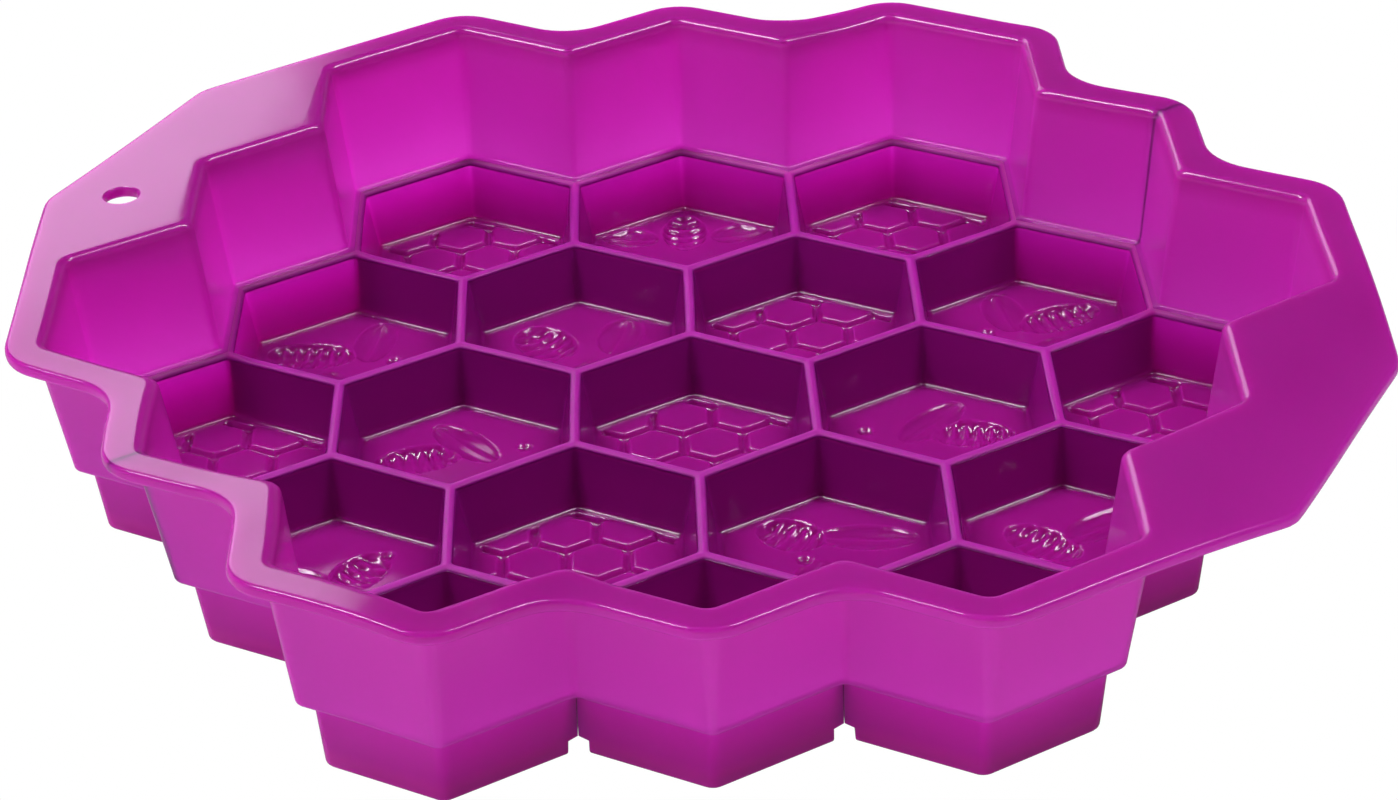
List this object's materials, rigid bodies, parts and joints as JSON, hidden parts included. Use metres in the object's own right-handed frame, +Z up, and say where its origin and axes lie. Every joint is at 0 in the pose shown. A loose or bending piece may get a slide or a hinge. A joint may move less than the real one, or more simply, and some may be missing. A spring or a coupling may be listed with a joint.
{
  "type": "silicone soap mould",
  "caption": "Flexible silicone soap mould: hexagonal cells in a honeycomb, a tall zigzag skirt, a rounded rim flange, a grip tab and a tab with a hanging hole.",
  "frame": {"origin": "centre of the base plane, under the middle cell", "axes": "+X along the middle row of cells, +Y away from the user, +Z up out of the cells"},
  "size_m": [0.247, 0.23, 0.0432],
  "materials": {
    "silicone_cells": "satin magenta silicone, deepest in the cells",
    "silicone_floors": "glossy magenta silicone",
    "silicone_skirt": "satin magenta silicone",
    "silicone_tabs": "satin magenta silicone"
  },
  "bodies": {
    "mould_body": {"cell_wall_r1c1": "silicone_cells", "cell_wall_r1c2": "silicone_cells", "cell_wall_r1c3": "silicone_cells", "cell_wall_r2c1": "silicone_cells", "cell_wall_r2c2": "silicone_cells", "cell_wall_r2c3": "silicone_cells", "cell_wall_r2c4": "silicone_cells", "cell_wall_r3c1": "silicone_cells", "cell_wall_r3c2": "silicone_cells", "cell_wall_r3c3": "silicone_cells", "cell_wall_r3c4": "silicone_cells", "cell_wall_r3c5": "silicone_cells", "cell_wall_r4c1": "silicone_cells", "cell_wall_r4c2": "silicone_cells", "cell_wall_r4c3": "silicone_cells", "cell_wall_r4c4": "silicone_cells", "cell_wall_r5c1": "silicone_cells", "cell_wall_r5c2": "silicone_cells", "cell_wall_r5c3": "silicone_cells", "skirt_wall": "silicone_skirt", "rim_flange": "silicone_skirt"},
    "floor_r1c1": {"comb_floor_r1c1": "silicone_floors"},
    "floor_r1c2": {"bee_floor_r1c2": "silicone_floors"},
    "floor_r1c3": {"comb_floor_r1c3": "silicone_floors"},
    "floor_r2c1": {"bee_floor_r2c1": "silicone_floors"},
    "floor_r2c2": {"bee_floor_r2c2": "silicone_floors"},
    "floor_r2c3": {"comb_floor_r2c3": "silicone_floors"},
    "floor_r2c4": {"bee_floor_r2c4": "silicone_floors"},
    "floor_r3c1": {"comb_floor_r3c1": "silicone_floors"},
    "floor_r3c2": {"bee_floor_r3c2": "silicone_floors"},
    "floor_r3c3": {"comb_floor_r3c3": "silicone_floors"},
    "floor_r3c4": {"bee_floor_r3c4": "silicone_floors"},
    "floor_r3c5": {"comb_floor_r3c5": "silicone_floors"},
    "floor_r4c1": {"bee_floor_r4c1": "silicone_floors"},
    "floor_r4c2": {"comb_floor_r4c2": "silicone_floors"},
    "floor_r4c3": {"bee_floor_r4c3": "silicone_floors"},
    "floor_r4c4": {"bee_floor_r4c4": "silicone_floors"},
    "floor_r5c1": {"comb_floor_r5c1": "silicone_floors"},
    "floor_r5c2": {"bee_floor_r5c2": "silicone_floors"},
    "floor_r5c3": {"comb_floor_r5c3": "silicone_floors"},
    "hanging_tab": {"hanging_tab": "silicone_tabs"},
    "grip_tab": {"grip_tab": "silicone_tabs"}
  },
  "joints": [
    {"name": "push_out_r1c1", "type": "slide", "parent": "mould_body", "child": "floor_r1c1", "axis": [0, 0, 1], "range_m": [0, 0.006], "stiffness_N_per_m": 60},
    {"name": "push_out_r1c2", "type": "slide", "parent": "mould_body", "child": "floor_r1c2", "axis": [0, 0, 1], "range_m": [0, 0.006], "stiffness_N_per_m": 60},
    {"name": "push_out_r1c3", "type": "slide", "parent": "mould_body", "child": "floor_r1c3", "axis": [0, 0, 1], "range_m": [0, 0.006], "stiffness_N_per_m": 60},
    {"name": "push_out_r2c1", "type": "slide", "parent": "mould_body", "child": "floor_r2c1", "axis": [0, 0, 1], "range_m": [0, 0.006], "stiffness_N_per_m": 60},
    {"name": "push_out_r2c2", "type": "slide", "parent": "mould_body", "child": "floor_r2c2", "axis": [0, 0, 1], "range_m": [0, 0.006], "stiffness_N_per_m": 60},
    {"name": "push_out_r2c3", "type": "slide", "parent": "mould_body", "child": "floor_r2c3", "axis": [0, 0, 1], "range_m": [0, 0.006], "stiffness_N_per_m": 60},
    {"name": "push_out_r2c4", "type": "slide", "parent": "mould_body", "child": "floor_r2c4", "axis": [0, 0, 1], "range_m": [0, 0.006], "stiffness_N_per_m": 60},
    {"name": "push_out_r3c1", "type": "slide", "parent": "mould_body", "child": "floor_r3c1", "axis": [0, 0, 1], "range_m": [0, 0.006], "stiffness_N_per_m": 60},
    {"name": "push_out_r3c2", "type": "slide", "parent": "mould_body", "child": "floor_r3c2", "axis": [0, 0, 1], "range_m": [0, 0.006], "stiffness_N_per_m": 60},
    {"name": "push_out_r3c3", "type": "slide", "parent": "mould_body", "child": "floor_r3c3", "axis": [0, 0, 1], "range_m": [0, 0.006], "stiffness_N_per_m": 60},
    {"name": "push_out_r3c4", "type": "slide", "parent": "mould_body", "child": "floor_r3c4", "axis": [0, 0, 1], "range_m": [0, 0.006], "stiffness_N_per_m": 60},
    {"name": "push_out_r3c5", "type": "slide", "parent": "mould_body", "child": "floor_r3c5", "axis": [0, 0, 1], "range_m": [0, 0.006], "stiffness_N_per_m": 60},
    {"name": "push_out_r4c1", "type": "slide", "parent": "mould_body", "child": "floor_r4c1", "axis": [0, 0, 1], "range_m": [0, 0.006], "stiffness_N_per_m": 60},
    {"name": "push_out_r4c2", "type": "slide", "parent": "mould_body", "child": "floor_r4c2", "axis": [0, 0, 1], "range_m": [0, 0.006], "stiffness_N_per_m": 60},
    {"name": "push_out_r4c3", "type": "slide", "parent": "mould_body", "child": "floor_r4c3", "axis": [0, 0, 1], "range_m": [0, 0.006], "stiffness_N_per_m": 60},
    {"name": "push_out_r4c4", "type": "slide", "parent": "mould_body", "child": "floor_r4c4", "axis": [0, 0, 1], "range_m": [0, 0.006], "stiffness_N_per_m": 60},
    {"name": "push_out_r5c1", "type": "slide", "parent": "mould_body", "child": "floor_r5c1", "axis": [0, 0, 1], "range_m": [0, 0.006], "stiffness_N_per_m": 60},
    {"name": "push_out_r5c2", "type": "slide", "parent": "mould_body", "child": "floor_r5c2", "axis": [0, 0, 1], "range_m": [0, 0.006], "stiffness_N_per_m": 60},
    {"name": "push_out_r5c3", "type": "slide", "parent": "mould_body", "child": "floor_r5c3", "axis": [0, 0, 1], "range_m": [0, 0.006], "stiffness_N_per_m": 60},
    {"name": "hanging_tab_flex", "type": "hinge", "parent": "mould_body", "child": "hanging_tab", "pos_m": [-0.09942, 0.0574, 0.0419], "axis": [0.5, 0.866, 0], "range_deg": [-60, 45], "stiffness_Nm_per_rad": 0.02},
    {"name": "grip_tab_flex", "type": "hinge", "parent": "mould_body", "child": "grip_tab", "pos_m": [0.09942, -0.0574, 0.0419], "axis": [-0.5, -0.866, 0], "range_deg": [-60, 45], "stiffness_Nm_per_rad": 0.02}
  ]
}
